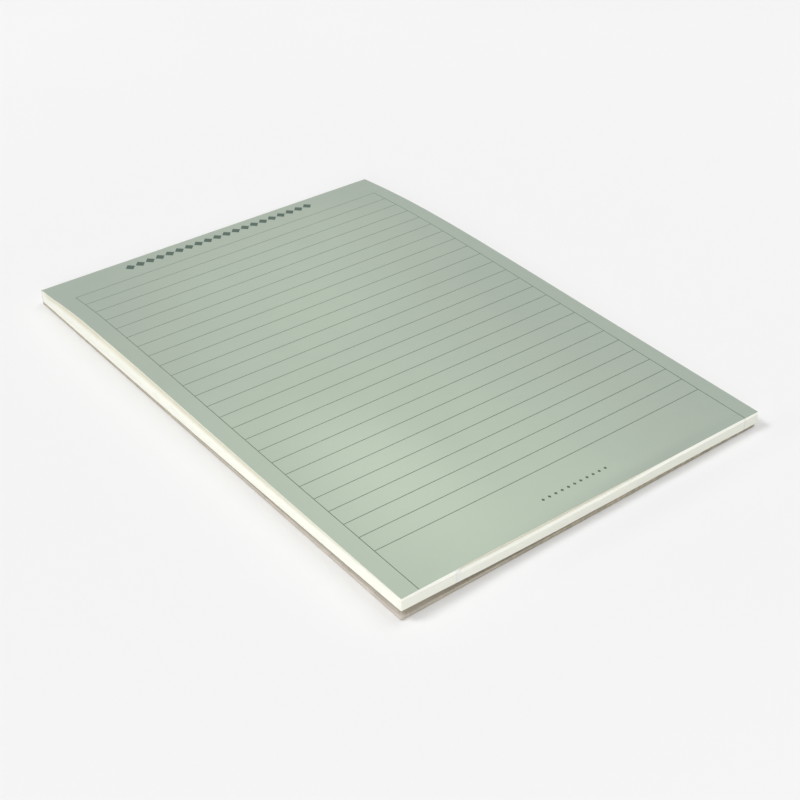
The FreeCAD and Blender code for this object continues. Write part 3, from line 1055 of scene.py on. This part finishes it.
# painted shade on the card's upper face under the sprung corner, deeper further in from the left edge
gap = np.interp(from_foot, GAP_PLACES, GAP_HEIGHTS)
card_gap_shade = np.interp((card_x - board_low.x) / gap, IN_PLACES, IN_GAP_SHADE)
card_gap_shade = card_gap_shade * np.interp(from_foot, GAP_SHADE_PLACES, FOOT_GAP_SHADE)
upper_face = np.maximum(lower_face, card_gap_shade)
between = [edge_darkness] * (len(card_loops) - 2)
add_mask(card_back, "edge", np.concatenate([lower_face.ravel(), *between, upper_face.ravel()]))
print("soil on the cut edge:", edge_darkness.min(), "to", edge_darkness.max())

# %% [markdown]
# ## The floor and the light
#
# A studio would lay the pad on a white sweep between three softboxes. The main one stands on the
# left, a little behind the pad. It is the smallest, so it gives the foot its short shadow. A
# second, low before the front left corner, makes the left edge the brightest, and a third on the
# right opens the shadows. All stand far off, so that the light is as strong at one end of the pad
# as at the other. The floor's own colour makes the pale background. It is a little paler far from
# the pad, where less light falls, and darker right before the foot, where the white paper throws
# light on it, so that the background stays even. The lamps stay at the level where a colour looks
# as it is written. The room itself gives a weak light from all round, but the camera and the
# reflections see it nearly as bright as the floor.

# %% Floor
floor_paint, tree, shader = new_material("floor_paint")
haze = place_mottle(tree, 300.0, 0.02)
near_pad = place_pool(tree, -76.0, 105.0, 600.0)
before_foot = place_pool(tree, 92.0, -5.0, 14.0, squeeze=0.14)
tint = fade(tree, near_pad, colour(246, 246, 246), colour(239, 239, 239))
tint = fade(tree, before_foot, tint, colour(234, 234, 235))
tint = fade(tree, spread(tree, haze, 0.0, 0.01, 0.0, 0.5), tint, colour(237, 237, 237))
fill(tree, shader.inputs["Base Color"], tint)
shader.inputs["Roughness"].default_value = 0.9
shader.inputs["Specular IOR Level"].default_value = 0.1

FLOOR_REACH = 3.0     # metres from the middle to each side
corners = [(x * FLOOR_REACH, y * FLOOR_REACH, 0.0) for x, y in ((-1, -1), (1, -1), (1, 1), (-1, 1))]
floor_mesh = bpy.data.meshes.new("floor")
floor_mesh.from_pydata(corners, [], [(0, 1, 2, 3)])
floor_mesh.materials.append(floor_paint)
floor = add_object("floor", floor_mesh)
floor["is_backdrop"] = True
print("floor:", FLOOR_REACH * 2, "m across")

# %% World
ROOM_LIGHT = 0.32
ROOM_SEEN = 0.9       # by the camera and the reflections

world = bpy.data.worlds.new("room")
world.use_nodes = True
tree = world.node_tree
tree.nodes.clear()
path = add_node(tree, "ShaderNodeLightPath")
seen = calculate(tree, "MAXIMUM", path.outputs["Is Camera Ray"], path.outputs["Is Glossy Ray"])
seen = calculate(tree, "MAXIMUM", seen, path.outputs["Is Transmission Ray"])
strength = spread(tree, seen, 0.0, 1.0, ROOM_LIGHT, ROOM_SEEN)
room = add_node(tree, "ShaderNodeBackground", {"Color": (1.0, 1.0, 1.0, 1.0), "Strength": strength})
add_node(tree, "ShaderNodeOutputWorld", {"Surface": room.outputs[0]})
bpy.context.scene.world = world
print("room light:", ROOM_LIGHT)

# %% Lamps
LAMP_DISTANCE = 5.0     # metres


def add_lamp(name, azimuth, elevation, size, watts):
    """A square softbox on an orbit round the pad. Azimuth 0 is in front, 90 on the right."""
    data = bpy.data.lights.new(name, "AREA")
    data.shape = "SQUARE"
    data.size = size
    data.energy = watts
    lamp = add_object(name, data)
    turn, rise = math.radians(azimuth), math.radians(elevation)
    level = math.cos(rise)
    toward = Vector((math.sin(turn) * level, -math.cos(turn) * level, math.sin(rise)))
    lamp.location = toward * LAMP_DISTANCE
    lamp.rotation_mode = "QUATERNION"
    lamp.rotation_quaternion = (-toward).to_track_quat("-Z", "Y")
    print(f"{name}: {watts} W at {[round(value, 2) for value in lamp.location]}")


add_lamp("left_softbox", azimuth=-122, elevation=50, size=1.5, watts=100)
add_lamp("front_softbox", azimuth=-39, elevation=32, size=3.3, watts=118)
add_lamp("right_softbox", azimuth=90, elevation=60, size=3.3, watts=62)
bpy.context.scene.view_settings.view_transform = "Standard"

# %% [markdown]
# ## Last sizes
#
# The sizes of the dressed pad and of the solid it dresses are printed side by side. The
# dressed pad must be as large as the solid it dresses.

# %% Sizes and finish
visual_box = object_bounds()
boxes = {"cad": [list(corner) for corner in cad_box], "visual": [list(corner) for corner in visual_box]}
for name, box in boxes.items():
    print(name, "mm:", [[round(value / MM, 3) for value in corner] for corner in box])
